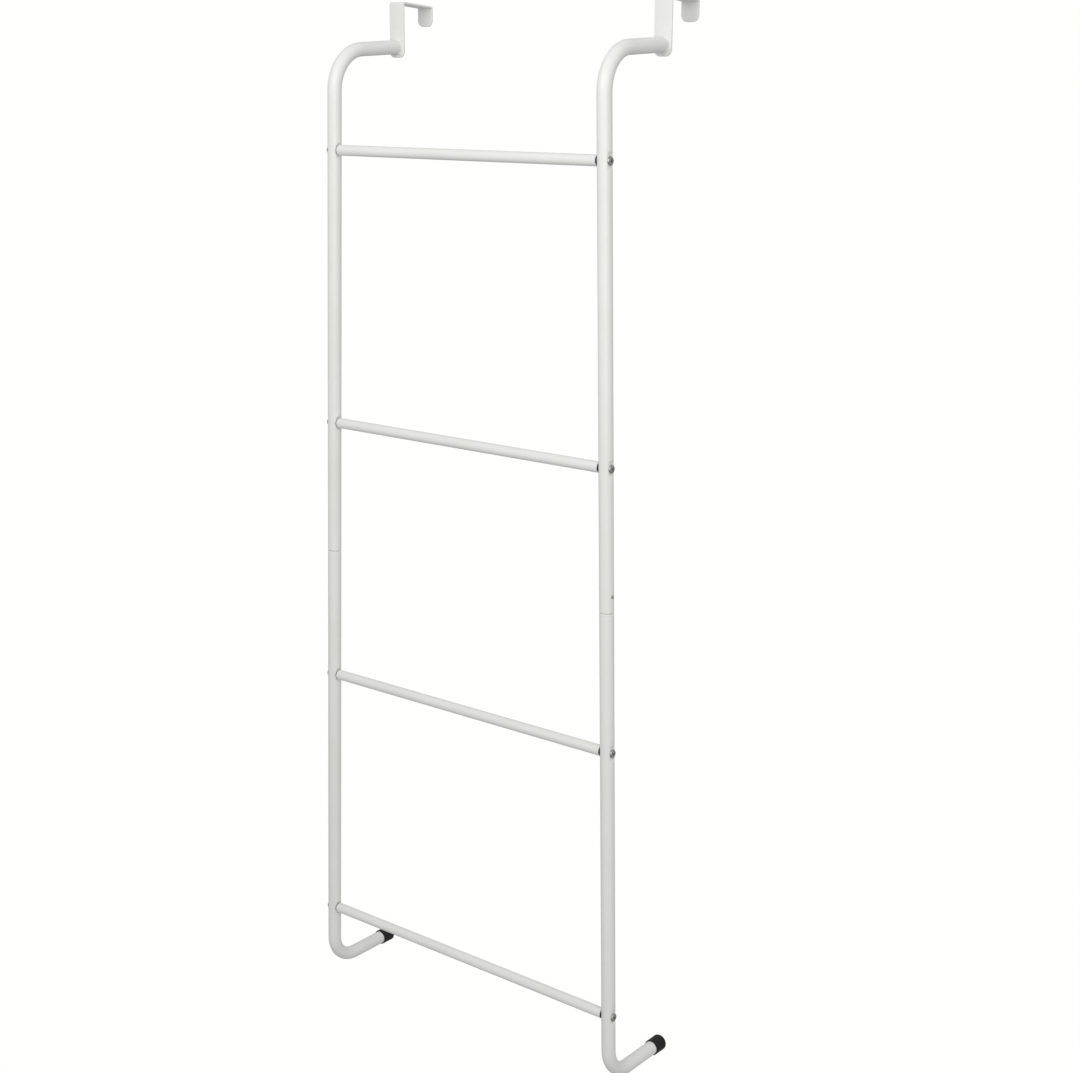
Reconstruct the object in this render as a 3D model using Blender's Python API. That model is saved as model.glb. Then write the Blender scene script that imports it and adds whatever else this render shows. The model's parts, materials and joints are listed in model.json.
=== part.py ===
"""Over-the-door towel rack: two splayed side rails in two pieces each, four towel rungs, two door hooks.

Units are metres. +Z is up, +Y runs into the door and +X runs to the right-hand rail. The origin is the middle
of the door's top edge: on the door top, midway between the two hooks and midway through the door.
Each side rail is an upper tube with a bent arm and a lower tube with a bent foot. The lower tube's reduced
spigot slides up inside the upper tube, and a sprung snap button on a leaf spring locks the two together.
"""

import math

import bmesh
import bpy
from mathutils import Vector

# The door hooks
DOOR_GAP = 0.047
STRAP_THICK = 0.002
STRAP_WIDTH = 0.022
STRAP_BEND = 0.003
STRAP_CORNER = 0.0075
STRAP_FALL = math.radians(4.0)
HOOK_HALF_SPACING = 0.187
HOOK_FRONT_DROP = 0.057
HOOK_BACK_DROP = 0.021

# The side rails
RAIL_RADIUS = 0.008
RAIL_BORE = 0.0068
RAIL_SPLAY = math.radians(1.6)
RAIL_AXIS_Y = -DOOR_GAP / 2 - 0.104
ARM_END_Z = -0.045
ARM_RISE = math.radians(3.5)
ARM_BEND = 0.046
FOOT_Z = -1.184
FOOT_BEND = 0.036
SEAM_Z = -0.6315
SEAM_GAP = 0.0005

# The spigot joint and its snap button
SPIGOT_RADIUS = 0.0065
SPIGOT_BORE = 0.0055
SPIGOT_LENGTH = 0.040
SPIGOT_CHAMFER_LENGTH = 0.001
SPIGOT_CHAMFER_DEPTH = 0.0004
SHOULDER_LENGTH = 0.0012
BUTTON_RISE = 0.018
BUTTON_RADIUS = 0.0018
BUTTON_PROUD = 0.0009
BUTTON_ROUND = 0.0007
BUTTON_FLANGE_RADIUS = 0.0031
BUTTON_FLANGE_THICK = 0.0008
BUTTON_HOLE_RADIUS = 0.0021
BUTTON_CUT_NEAR = 0.003
BUTTON_CUT_FAR = 0.012
LEAF_THICK = 0.0006
LEAF_WIDTH = 0.0044
LEAF_BELOW = 0.014
LEAF_ABOVE = 0.006
LEAF_KNEE = 0.004
LEAF_FOLD = 0.0016

# The flats pressed into the rails on both sides at every screw
FLAT_DEPTH = 0.0013
FLAT_HALF = 0.0065
FLAT_RUNOUT = 0.003

# The rungs, their plugs and their screws
RUNG_RADIUS = 0.006
RUNG_BORE = 0.005
RUNG_TOP_Z = -0.160
RUNG_STEP = 0.315
RUNG_COUNT = 4
PLUG_LENGTH = 0.022
PLUG_BORE = 0.0028
COLLAR_RADIUS = 0.0056
COLLAR_THICK = 0.0008
SCREW_SHANK = 0.0024
SCREW_LENGTH = 0.034
SCREW_TIP = 0.002
SCREW_HEAD_RADIUS = 0.0048
SCREW_HEAD_HEIGHT = 0.0018
SCREW_HEAD_SHAPE = ((1.0, 0.45), (0.9, 0.72), (0.62, 0.93), (0.3, 1.0), (0.0, 0.98))
SCREW_HOLE = 0.0028
SCREW_CUT_HALF = 0.02
CROSS_WIDTH = 0.0009
CROSS_SPAN = 0.0046
CROSS_DEPTH = 0.0012
CROSS_OVERCUT = 0.001

# The rubber foot caps
CAP_RADIUS = 0.0095
CAP_LENGTH = 0.0195
CAP_FLOOR = 0.003
CAP_ROUND = 0.003
CAP_LIP = 0.0008

CLEARANCE = 0.0003
TUBE_SIDES = 20
RUNG_SIDES = 16
SMALL_SIDES = 12
BEND_STEPS = 9
FINE_STEPS = 5

WHITE_COAT = ("white powder coat", (0.86, 0.865, 0.845, 1.0), 0.38, 0.0)
ZINC_STEEL = ("zinc plated steel", (0.55, 0.55, 0.54, 1.0), 0.3, 1.0)
SPRING_STEEL = ("spring steel", (0.32, 0.33, 0.35, 1.0), 0.35, 1.0)
BLACK_RUBBER = ("black rubber", (0.015, 0.015, 0.015, 1.0), 0.6, 0.0)
BLACK_NYLON = ("black nylon", (0.03, 0.03, 0.03, 1.0), 0.5, 0.0)

SIDES = (("left", -1.0), ("right", 1.0))


def clear_scene():
    """Remove whatever objects the file opened with."""
    for old in list(bpy.data.objects):
        bpy.data.objects.remove(old, do_unlink=True)


def material(spec):
    """One Principled material per finish, shared by the pieces that have it."""
    name, colour, roughness, metallic = spec
    found = bpy.data.materials.get(name)
    if found:
        return found
    made = bpy.data.materials.new(name)
    made.use_nodes = True
    shader = made.node_tree.nodes["Principled BSDF"]
    shader.inputs["Base Color"].default_value = colour
    shader.inputs["Roughness"].default_value = roughness
    shader.inputs["Metallic"].default_value = metallic
    made.diffuse_color = colour
    return made


def finish(name, mesh_data, spec):
    """Turn a bmesh into a named object with one material, shaded smooth between sharp edges."""
    bmesh.ops.recalc_face_normals(mesh_data, faces=mesh_data.faces)
    mesh = bpy.data.meshes.new(name)
    mesh_data.to_mesh(mesh)
    mesh_data.free()
    mesh.shade_smooth()
    mesh.set_sharp_from_angle(angle=math.radians(40))
    mesh.materials.append(material(spec))
    made = bpy.data.objects.new(name, mesh)
    bpy.context.scene.collection.objects.link(made)
    return made


def ring(mesh_data, centre, across, along, radius, sides):
    """A circle of vertices about centre in the plane of two unit vectors."""
    points = []
    for step in range(sides):
        turn = 2 * math.pi * step / sides
        points.append(mesh_data.verts.new(centre + radius * (math.cos(turn) * across + math.sin(turn) * along)))
    return points


def bridge(mesh_data, first, second):
    """Quads between two rings with the same number of vertices."""
    count = len(first)
    for step in range(count):
        after = (step + 1) % count
        mesh_data.faces.new((first[step], first[after], second[after], second[step]))


def lathe(name, start, axis, profile, sides, spec, closed=False):
    """Turn (distance along axis, radius) stations about a line. An open profile gets a flat face at each end,
    a closed one joins its last station to its first, as a tube wall does."""
    axis = axis.normalized()
    across = axis.orthogonal().normalized()
    if abs(axis.x) > 0.9:
        across = Vector((0, 0, 1)).cross(axis).normalized()
    along = axis.cross(across)
    mesh_data = bmesh.new()
    rings = [ring(mesh_data, start + axis * far, across, along, radius, sides) for far, radius in profile]
    for first, second in zip(rings, rings[1:]):
        bridge(mesh_data, first, second)
    if closed:
        bridge(mesh_data, rings[-1], rings[0])
    else:
        mesh_data.faces.new(rings[0])
        mesh_data.faces.new(rings[-1])
    return finish(name, mesh_data, spec)


def hidden_cutter(cutter):
    """Keep a cutter out of the model while Boolean modifiers still read it."""
    cutter.hide_render = True
    cutter.display_type = "WIRE"
    return cutter


def cut(target, cutter):
    """Take a hidden cutter away from a piece."""
    boolean = target.modifiers.new("cut_" + cutter.name, "BOOLEAN")
    boolean.operation = "DIFFERENCE"
    boolean.solver = "EXACT"
    boolean.object = hidden_cutter(cutter)


def rail_point(side, z):
    """Where the splayed rail's axis is at a height."""
    return Vector((side * (HOOK_HALF_SPACING + (ARM_END_Z - z) * math.tan(RAIL_SPLAY)), RAIL_AXIS_Y, z))


def rail_down(side):
    """The direction down a splayed rail."""
    return Vector((side * math.sin(RAIL_SPLAY), 0, -math.cos(RAIL_SPLAY)))


def bend_stations(corner, arriving, leaving, radius, steps):
    """Centres and directions along the arc that rounds the corner between two straight runs."""
    turn = arriving.angle(leaving)
    setback = radius * math.tan(turn / 2)
    inward = (leaving - arriving * arriving.dot(leaving)).normalized()
    begin = corner - arriving * setback
    stations = []
    for step in range(steps + 1):
        angle = turn * step / steps
        centre = begin + arriving * (radius * math.sin(angle)) + inward * (radius * (1 - math.cos(angle)))
        direction = arriving * math.cos(angle) + inward * math.sin(angle)
        stations.append((centre, direction))
    return stations


def tube(name, stations, outer, inner, normal, spec):
    """A tube wall along stations of (centre, direction), with an outer and an inner radius at each station."""
    mesh_data = bmesh.new()
    skins = []
    for radii in (outer, inner):
        rings = []
        for (centre, direction), radius in zip(stations, radii):
            along = direction.cross(normal).normalized()
            rings.append(ring(mesh_data, centre, normal, along, radius, TUBE_SIDES))
        for first, second in zip(rings, rings[1:]):
            bridge(mesh_data, first, second)
        skins.append(rings)
    bridge(mesh_data, skins[0][0], skins[1][0])
    bridge(mesh_data, skins[0][-1], skins[1][-1])
    return finish(name, mesh_data, spec)


def screw_bore(name, centre):
    """A cutter cylinder along X through a rail, for one screw."""
    start = centre - Vector((SCREW_CUT_HALF, 0, 0))
    profile = ((0, SCREW_HOLE), (2 * SCREW_CUT_HALF, SCREW_HOLE))
    return lathe(name, start, Vector((1, 0, 0)), profile, SMALL_SIDES, ZINC_STEEL)


def rung_height(number):
    """The height of a rung's axis, counted from 1 at the top."""
    return RUNG_TOP_Z - (number - 1) * RUNG_STEP


def rail_normal(side):
    """The unit vector across the plane that a side rail is bent in."""
    return rail_down(side).cross(Vector((0, 1, 0))).normalized()


def flat_stations(side, numbers, direction):
    """Stations where the flats at these rungs begin, run level and end, in the order given."""
    reach = FLAT_HALF + FLAT_RUNOUT
    stations = []
    for number in numbers:
        centre = rail_point(side, rung_height(number))
        for far in (-reach, -FLAT_HALF, FLAT_HALF, reach):
            stations.append((centre + direction * far, direction))
    return stations


def press_flats(made, side, numbers):
    """Push both walls of a straight rail inward to the flats where its screws pass through."""
    out = outward(side)
    for number in numbers:
        centre = rail_point(side, rung_height(number))
        for vertex in made.data.vertices:
            offset = vertex.co - centre
            if abs(offset.dot(rail_down(side))) > FLAT_HALF + CLEARANCE:
                continue
            sideways = offset.dot(out)
            across = offset.cross(rail_down(side)).length
            skin = RAIL_RADIUS if across > (RAIL_RADIUS + RAIL_BORE) / 2 else RAIL_BORE
            limit = skin - FLAT_DEPTH
            excess = max(abs(sideways) - limit, 0.0)
            vertex.co -= out * math.copysign(excess, sideways)


def upper_rail(label, side):
    """Upper tube: a straight run, a wide bend at the top, and the arm that reaches back to the hook plate."""
    into_door = Vector((0, math.cos(ARM_RISE), math.sin(ARM_RISE)))
    plate_face_y = -DOOR_GAP / 2 - STRAP_THICK
    arm_reach = plate_face_y - RAIL_AXIS_Y
    corner = rail_point(side, ARM_END_Z - arm_reach * math.tan(ARM_RISE))
    arm_end = corner + into_door * ((arm_reach - CLEARANCE) / math.cos(ARM_RISE) - RAIL_RADIUS * math.sin(ARM_RISE))
    up = -rail_down(side)
    seam = rail_point(side, SEAM_Z)
    stations = [(seam, up)] + flat_stations(side, (2, 1), up)
    stations += bend_stations(corner, up, into_door, ARM_BEND, BEND_STEPS) + [(arm_end, into_door)]
    outer = [RAIL_RADIUS] * len(stations)
    inner = [RAIL_BORE] * len(stations)
    made = tube(label + "_upper_rail", stations, outer, inner, rail_normal(side), WHITE_COAT)
    press_flats(made, side, (1, 2))
    for number in (1, 2):
        cut(made, screw_bore(f"{label}_screw_cut_{number}", rail_point(side, rung_height(number))))
    cut(made, button_cutter(label + "_button_cut_upper", side))
    return made


def lower_rail(label, side):
    """Lower tube: the reduced spigot, its shoulder, a straight run, a tight bend and the foot."""
    down = rail_down(side)
    into_door = Vector((0, 1, 0))
    seam = rail_point(side, SEAM_Z)
    corner = rail_point(side, FOOT_Z)
    shoulder = seam + down * SEAM_GAP
    cap_mouth_y = -DOOR_GAP / 2 - CAP_FLOOR - CLEARANCE
    foot_end = Vector((corner.x, cap_mouth_y, corner.z))
    stations = [
        (seam - down * SPIGOT_LENGTH, down),
        (seam - down * (SPIGOT_LENGTH - SPIGOT_CHAMFER_LENGTH), down),
        (shoulder, down),
        (shoulder + down * SHOULDER_LENGTH, down),
    ]
    outer = [SPIGOT_RADIUS - SPIGOT_CHAMFER_DEPTH, SPIGOT_RADIUS, SPIGOT_RADIUS, RAIL_RADIUS]
    inner = [SPIGOT_BORE, SPIGOT_BORE, SPIGOT_BORE, RAIL_BORE]
    stations += flat_stations(side, (3, 4), down)
    stations += bend_stations(corner, down, into_door, FOOT_BEND, BEND_STEPS) + [(foot_end, into_door)]
    outer += [RAIL_RADIUS] * (len(stations) - len(outer))
    inner += [RAIL_BORE] * (len(stations) - len(inner))
    made = tube(label + "_lower_rail", stations, outer, inner, rail_normal(side), WHITE_COAT)
    press_flats(made, side, (3, 4))
    for number in (3, 4):
        cut(made, screw_bore(f"{label}_screw_cut_{number}", rail_point(side, rung_height(number))))
    cut(made, button_cutter(label + "_button_cut_lower", side))
    return made


def outward(side):
    """The snap button's axis: square to the splayed rail, away from the middle of the rack."""
    return Vector((side * math.cos(RAIL_SPLAY), 0, math.sin(RAIL_SPLAY)))


def button_centre(side):
    """The rail's axis at the snap button."""
    return rail_point(side, SEAM_Z) - rail_down(side) * BUTTON_RISE


def button_cutter(name, side):
    """A hole through the outer wall only, for the snap button."""
    profile = ((BUTTON_CUT_NEAR, BUTTON_HOLE_RADIUS), (BUTTON_CUT_FAR, BUTTON_HOLE_RADIUS))
    return lathe(name, button_centre(side), outward(side), profile, SMALL_SIDES, ZINC_STEEL)


def flange_back_reach():
    """How far from the rail's axis the button's flange has its back, with its rim just clear of the round bore."""
    bore = SPIGOT_BORE * math.cos(math.pi / TUBE_SIDES)
    return math.sqrt(bore**2 - BUTTON_FLANGE_RADIUS**2) - CLEARANCE - BUTTON_FLANGE_THICK


def snap_button(label, side):
    """Round button with a retaining flange inside the spigot. Its origin is on its sliding axis."""
    out = outward(side)
    flange_back = flange_back_reach()
    length = RAIL_RADIUS + BUTTON_PROUD - flange_back
    profile = [
        (0.0, BUTTON_FLANGE_RADIUS),
        (BUTTON_FLANGE_THICK, BUTTON_FLANGE_RADIUS),
        (BUTTON_FLANGE_THICK, BUTTON_RADIUS),
    ]
    for step in range(FINE_STEPS):
        turn = math.pi / 2 * step / (FINE_STEPS - 1)
        far = length - BUTTON_ROUND + BUTTON_ROUND * math.sin(turn)
        profile.append((far, BUTTON_RADIUS - BUTTON_ROUND + BUTTON_ROUND * math.cos(turn)))
    made = lathe(label + "_snap_button", Vector((0, 0, 0)), out, profile, SMALL_SIDES, ZINC_STEEL)
    made.location = button_centre(side) + out * flange_back
    return made


def snap_spring(label, side):
    """V-shaped leaf inside the spigot: one leg behind the button, the other on the far wall."""
    out = outward(side)
    up = -rail_down(side)
    width = Vector((0, LEAF_WIDTH / 2, 0))
    near = flange_back_reach() - CLEARANCE - LEAF_THICK / 2
    far = SPIGOT_BORE - 3 * CLEARANCE - LEAF_THICK / 2
    fold = LEAF_FOLD
    middle = [(-far, LEAF_ABOVE), (-far, 0.0), (-fold, fold - LEAF_BELOW)]
    for step in range(1, FINE_STEPS + 1):
        turn = math.pi * step / (FINE_STEPS + 1)
        middle.append((-fold * math.cos(turn), fold - LEAF_BELOW - fold * math.sin(turn)))
    middle += [(fold, fold - LEAF_BELOW), (near, -LEAF_KNEE), (near, LEAF_ABOVE)]
    mesh_data = bmesh.new()
    rows = []
    for index, (sideways, height) in enumerate(middle):
        before = Vector(middle[max(index - 1, 0)])
        after = Vector(middle[min(index + 1, len(middle) - 1)])
        direction = (after - before).normalized()
        across = Vector((-direction.y, direction.x)) * LEAF_THICK / 2
        corners = []
        for thick, wide in ((1, 1), (1, -1), (-1, -1), (-1, 1)):
            spot = Vector((sideways, height)) + across * thick
            place = button_centre(side) + out * spot.x + up * spot.y + width * wide
            corners.append(mesh_data.verts.new(place))
        rows.append(corners)
    for first, second in zip(rows, rows[1:]):
        bridge(mesh_data, first, second)
    mesh_data.faces.new(rows[0])
    mesh_data.faces.new(rows[-1])
    return finish(label + "_snap_spring", mesh_data, SPRING_STEEL)


def strap_end(bottom, direction):
    """Stations of (centre, direction, inset) over the rounded corners of a strap end, lowest first."""
    stations = []
    for step in range(FINE_STEPS + 1):
        turn = math.pi / 2 * step / FINE_STEPS
        lift = STRAP_CORNER * (1 - math.cos(turn))
        stations.append((bottom + Vector((0, 0, lift)), direction, STRAP_CORNER * (1 - math.sin(turn))))
    return stations


def strap_stations(side):
    """The strap's middle line from the front plate's bottom, over the falling top plate, to the back tab's bottom."""
    x = side * HOOK_HALF_SPACING
    reach = DOOR_GAP / 2 + STRAP_THICK / 2
    up = Vector((0, 0, 1))
    back = Vector((0, math.cos(STRAP_FALL), -math.sin(STRAP_FALL)))
    back_top = STRAP_THICK / 2 / math.cos(STRAP_FALL) - STRAP_THICK / 2 * math.tan(STRAP_FALL)
    front_top = back_top + 2 * reach * math.tan(STRAP_FALL)
    radius = STRAP_BEND - STRAP_THICK / 2
    stations = strap_end(Vector((x, -reach, -HOOK_FRONT_DROP)), up)
    for corner, before, after in (
        (Vector((x, -reach, front_top)), up, back),
        (Vector((x, reach, back_top)), back, -up),
    ):
        stations += [(*station, 0.0) for station in bend_stations(corner, before, after, radius, FINE_STEPS)]
    return stations + strap_end(Vector((x, reach, -HOOK_BACK_DROP)), -up)[::-1]


def hook(label, side):
    """Flat strap bent over the door: front plate, top plate and a short back tab with rounded bottom corners."""
    mesh_data = bmesh.new()
    width = Vector((1, 0, 0))
    rows = []
    for centre, direction, inset in strap_stations(side):
        thick = width.cross(direction) * STRAP_THICK / 2
        wide = width * (STRAP_WIDTH / 2 - inset)
        places = (centre + thick + wide, centre + thick - wide, centre - thick - wide, centre - thick + wide)
        rows.append([mesh_data.verts.new(place) for place in places])
    for first, second in zip(rows, rows[1:]):
        bridge(mesh_data, first, second)
    mesh_data.faces.new(rows[0])
    mesh_data.faces.new(rows[-1])
    return finish(label + "_hook", mesh_data, WHITE_COAT)


def foot_cap(label, side):
    """Rubber cap over the end of the foot, its flat end resting on the door."""
    end = Vector((rail_point(side, FOOT_Z).x, -DOOR_GAP / 2, FOOT_Z))
    bore = RAIL_RADIUS + CLEARANCE
    profile = [(CAP_FLOOR, bore), (CAP_LENGTH, bore), (CAP_LENGTH, CAP_RADIUS - CAP_LIP / 2)]
    profile += [(CAP_LENGTH - CAP_LIP, CAP_RADIUS)]
    for step in range(FINE_STEPS):
        turn = math.pi / 2 * step / (FINE_STEPS - 1)
        far = CAP_ROUND - CAP_ROUND * math.sin(turn)
        profile.append((far, CAP_RADIUS - CAP_ROUND + CAP_ROUND * math.cos(turn)))
    mesh_data = bmesh.new()
    across = Vector((1, 0, 0))
    along = Vector((0, 0, 1))
    rings = [ring(mesh_data, end - Vector((0, far, 0)), across, along, radius, TUBE_SIDES) for far, radius in profile]
    for first, second in zip(rings, rings[1:]):
        bridge(mesh_data, first, second)
    mesh_data.faces.new(rings[0])
    mesh_data.faces.new(rings[-1])
    return finish(label + "_foot_cap", mesh_data, BLACK_RUBBER)


def rail_inner_face(side, number):
    """The X of the rail's inner flat where it stands furthest in across a rung's end."""
    centre = rail_point(side, rung_height(number) + RUNG_RADIUS)
    return centre.x - side * ((RAIL_RADIUS - FLAT_DEPTH) / math.cos(RAIL_SPLAY) + CLEARANCE)


def rung(number):
    """A straight tube with square ends that butt on the collars of its two plugs."""
    left = rail_inner_face(-1.0, number) + COLLAR_THICK + CLEARANCE
    right = rail_inner_face(1.0, number) - COLLAR_THICK - CLEARANCE
    profile = ((0, RUNG_RADIUS), (right - left, RUNG_RADIUS), (right - left, RUNG_BORE), (0, RUNG_BORE))
    start = Vector((left, RAIL_AXIS_Y, rung_height(number)))
    return lathe(f"rung_{number}", start, Vector((1, 0, 0)), profile, RUNG_SIDES, WHITE_COAT, closed=True)


def rung_plug(number, label, side):
    """A plug in the rung's end: a thin collar between rung and rail, and the bore that the screw bites into."""
    start = Vector((rail_inner_face(side, number), RAIL_AXIS_Y, rung_height(number)))
    radius = RUNG_BORE - CLEARANCE
    profile = (
        (0, COLLAR_RADIUS),
        (COLLAR_THICK, COLLAR_RADIUS),
        (COLLAR_THICK, radius),
        (PLUG_LENGTH, radius),
        (PLUG_LENGTH, PLUG_BORE),
        (0, PLUG_BORE),
    )
    name = f"rung_plug_{number}_{label}"
    return lathe(name, start, Vector((-side, 0, 0)), profile, RUNG_SIDES, BLACK_NYLON, closed=True)


def rung_screw(number, label, side):
    """Low pan-head cross-recess screw through the rail into the rung's plug."""
    outer_face = rail_point(side, rung_height(number) - SCREW_HEAD_RADIUS)
    flat_reach = (RAIL_RADIUS - FLAT_DEPTH) / math.cos(RAIL_SPLAY) + CLEARANCE
    seat = outer_face + Vector((side * flat_reach, 0, SCREW_HEAD_RADIUS))
    inward = Vector((-side, 0, 0))
    profile = [(-high * SCREW_HEAD_HEIGHT, wide * SCREW_HEAD_RADIUS) for high, wide in SCREW_HEAD_SHAPE]
    profile += [(0.0, SCREW_SHANK), (SCREW_LENGTH - SCREW_TIP, SCREW_SHANK), (SCREW_LENGTH, SCREW_SHANK / 2)]
    made = lathe(f"rung_screw_{number}_{label}", seat, inward, profile, SMALL_SIDES, ZINC_STEEL)
    crown = seat - inward * SCREW_HEAD_HEIGHT
    for index, spans in enumerate(((CROSS_SPAN, CROSS_WIDTH), (CROSS_WIDTH, CROSS_SPAN))):
        cut(made, slot_cutter(f"{made.name}_slot_{index}", crown, inward, spans))
    return made


def slot_cutter(name, crown, inward, spans):
    """A box cutter sunk CROSS_DEPTH below the crown of a screw head."""
    mesh_data = bmesh.new()
    bmesh.ops.create_cube(mesh_data, size=1.0)
    middle = crown + inward * (CROSS_DEPTH - CROSS_OVERCUT) / 2
    for vertex in mesh_data.verts:
        vertex.co.x *= CROSS_DEPTH + CROSS_OVERCUT
        vertex.co.y *= spans[0]
        vertex.co.z *= spans[1]
        vertex.co += middle
    return finish(name, mesh_data, ZINC_STEEL)


def build():
    """Every piece of the rack, parented to one empty at the door's top edge."""
    clear_scene()
    anchor = bpy.data.objects.new("door_top", None)
    bpy.context.scene.collection.objects.link(anchor)
    pieces = []
    for label, side in SIDES:
        pieces += [upper_rail(label, side), lower_rail(label, side), hook(label, side), foot_cap(label, side)]
        pieces += [snap_button(label, side), snap_spring(label, side)]
    for number in range(1, RUNG_COUNT + 1):
        pieces.append(rung(number))
        for label, side in SIDES:
            pieces += [rung_plug(number, label, side), rung_screw(number, label, side)]
    for piece in pieces:
        piece.parent = anchor


build()
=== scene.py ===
"""An over-the-door towel rack in white powder coat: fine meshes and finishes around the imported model.

Units are metres. +Z is up, +Y runs into the door and +X runs to the right-hand rail. The origin is the middle of
the door's top edge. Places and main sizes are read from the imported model's boxes. The small sizes named below are
the rack's own bends, edges, weld and threads.
"""

import json
import math

import bmesh
import bpy
import numpy as np
from mathutils import Matrix, Vector


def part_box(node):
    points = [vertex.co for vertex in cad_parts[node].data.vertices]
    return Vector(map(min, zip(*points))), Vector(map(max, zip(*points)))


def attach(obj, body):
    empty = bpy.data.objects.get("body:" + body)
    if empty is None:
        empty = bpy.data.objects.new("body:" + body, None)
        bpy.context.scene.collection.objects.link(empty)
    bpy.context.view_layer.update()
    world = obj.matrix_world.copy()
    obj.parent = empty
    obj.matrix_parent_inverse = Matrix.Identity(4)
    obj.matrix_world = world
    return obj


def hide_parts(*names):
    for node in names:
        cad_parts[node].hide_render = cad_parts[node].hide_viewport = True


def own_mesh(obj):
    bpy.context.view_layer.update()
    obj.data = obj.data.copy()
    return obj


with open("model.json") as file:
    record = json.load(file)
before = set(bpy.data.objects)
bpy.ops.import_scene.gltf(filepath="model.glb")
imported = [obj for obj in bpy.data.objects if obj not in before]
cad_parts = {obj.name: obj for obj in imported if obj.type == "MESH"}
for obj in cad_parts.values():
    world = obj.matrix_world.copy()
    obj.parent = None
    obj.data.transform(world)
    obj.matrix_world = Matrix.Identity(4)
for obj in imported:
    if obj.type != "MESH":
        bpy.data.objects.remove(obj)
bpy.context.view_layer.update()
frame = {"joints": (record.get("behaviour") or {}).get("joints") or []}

SIDES = (("left", -1.0), ("right", 1.0))
UPWARD = np.array((0.0, 0.0, 1.0))
RIGHTWARD = np.array((1.0, 0.0, 0.0))
DOORWARD = np.array((0.0, 1.0, 0.0))
FULL_TURN = 2 * math.pi
GAP = 0.0003
SHARP_ANGLE = math.radians(35)
DRILL_SIDES = 40


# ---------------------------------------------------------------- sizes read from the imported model

def corners(node):
    """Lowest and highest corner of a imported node, as arrays."""
    low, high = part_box(node)
    return np.array(low), np.array(high)


def middle(node):
    """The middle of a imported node's box."""
    low, high = corners(node)
    return (low + high) / 2


UPPER_RUNGS = (1, 2)
LOWER_RUNGS = (3, 4)
TOP_RUNG_LOW, TOP_RUNG_HIGH = corners("rung_1")
LAST_RUNG_HIGH = corners("rung_4")[1]
RAIL_Y = middle("rung_1")[1]
RUNG_RADIUS = (TOP_RUNG_HIGH[2] - TOP_RUNG_LOW[2]) / 2
LOWER_LOW, LOWER_HIGH = corners("right_lower_rail")
UPPER_LOW, UPPER_HIGH = corners("right_upper_rail")
HOOK_LOW, HOOK_HIGH = corners("right_hook")
HOOK_X = (HOOK_LOW[0] + HOOK_HIGH[0]) / 2
RAIL_RADIUS = RAIL_Y - LOWER_LOW[1]
SPREAD = (LAST_RUNG_HIGH[0] - TOP_RUNG_HIGH[0]) / (middle("rung_1")[2] - middle("rung_4")[2])
SPLAY = math.atan(SPREAD)
FOOT_Z = LOWER_LOW[2] + RAIL_RADIUS
SEAM_Z = UPPER_LOW[2] + RAIL_RADIUS * math.sin(SPLAY)

# Tubes: bores, bends and the rolled edges of their ends
RAIL_BORE = 0.0068
ARM_RISE = math.radians(3.5)
ARM_BEND = 0.046
FOOT_BEND = 0.036
TUBE_LIP = 0.0005
TUBE_WEAR = 0.0012
END_CLEAR = 0.002
RAIL_SIDES = 72
BEND_STOPS = 46
RUN_STOPS = 40

# The spigot that joins the two halves of a rail, its swaged shoulder and the groove under it
SPIGOT_RADIUS = 0.0065
SPIGOT_BORE = 0.0055
SPIGOT_LENGTH = 0.040
SEAM_GAP = 0.0005
LEAD_IN_LENGTH = 0.001
LEAD_IN_DEPTH = 0.0004
SHOULDER_LENGTH = 0.0012
GROOVE_BELOW = 0.0034
GROOVE_DEPTH = 0.00013
GROOVE_WIDTH = 0.0004
GROOVE_SPAN = (0.002, 0.005)
PLAIN_FROM = 0.008

# Snap button and its leaf
BUTTON_RISE = 0.018
BUTTON_RADIUS = 0.0018
BUTTON_PROUD = 0.0009
BUTTON_DOME = 0.0009
BUTTON_HOLE_RADIUS = 0.0021
BUTTON_HOLE_SPAN = (0.003, 0.012)
FLANGE_RADIUS = 0.0031
FLANGE_THICK = 0.0008
PIN_EASED = 0.0001
PACKED_BORE_SIDES = 20
LEAF_THICK = 0.0006
LEAF_WIDTH = 0.0044
LEAF_BELOW = 0.014
LEAF_ABOVE = 0.006
LEAF_FOLD = 0.0016
LEAF_FOLD_RADIUS = 0.0009
LEAF_KNEE = 0.004
LEAF_CORNER = 0.0008
LEAF_EDGE = 0.00018
LEAF_STOPS = 150

# The flats pressed into the rails at the screws
FLAT_DEPTH = 0.0013
FLAT_HALF = 0.0065
FLAT_RUNOUT = 0.003
FLAT_SOFTNESS = 0.00012
FLAT_STOPS = 21

# Rungs, plugs and screws
RUNG_BORE = 0.005
RUNG_LIP = 0.0003
RUNG_WEAR = 0.0008
RUNG_SIDES = 56
RUNG_STOPS = 24
PLUG_LENGTH = 0.022
PLUG_BORE = 0.0028
PLUG_CHAMFER = 0.0004
PLUG_EASED = 0.00015
PLUG_WEAR = 0.0006
PLUG_SIDES = 48
BARB_DEPTH = 0.00012
BARB_WAVES = 7
BARBS_FROM = 0.0008
BARBS_SHORT_OF_TIP = 0.0012
COLLAR_THICK = 0.0008
SCREW_HOLE = 0.0028
SCREW_HOLE_SPAN = (-0.02, 0.02)
SCREW_SIDES = 64
HEAD_RADIUS = 0.0048
HEAD_HEIGHT = 0.0018
SHANK_RADIUS = 0.0024
THREAD_DEPTH = 0.0004
THREAD_PITCH = 0.0016
THREAD_FROM = 0.005
THREAD_STEP = 0.00022
THREAD_SHORT_OF_TIP = 0.003
POINT_LENGTH = 0.0022
CROSS_SPAN = 0.0023
CROSS_HALF_WIDTH = 0.0005
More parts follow.
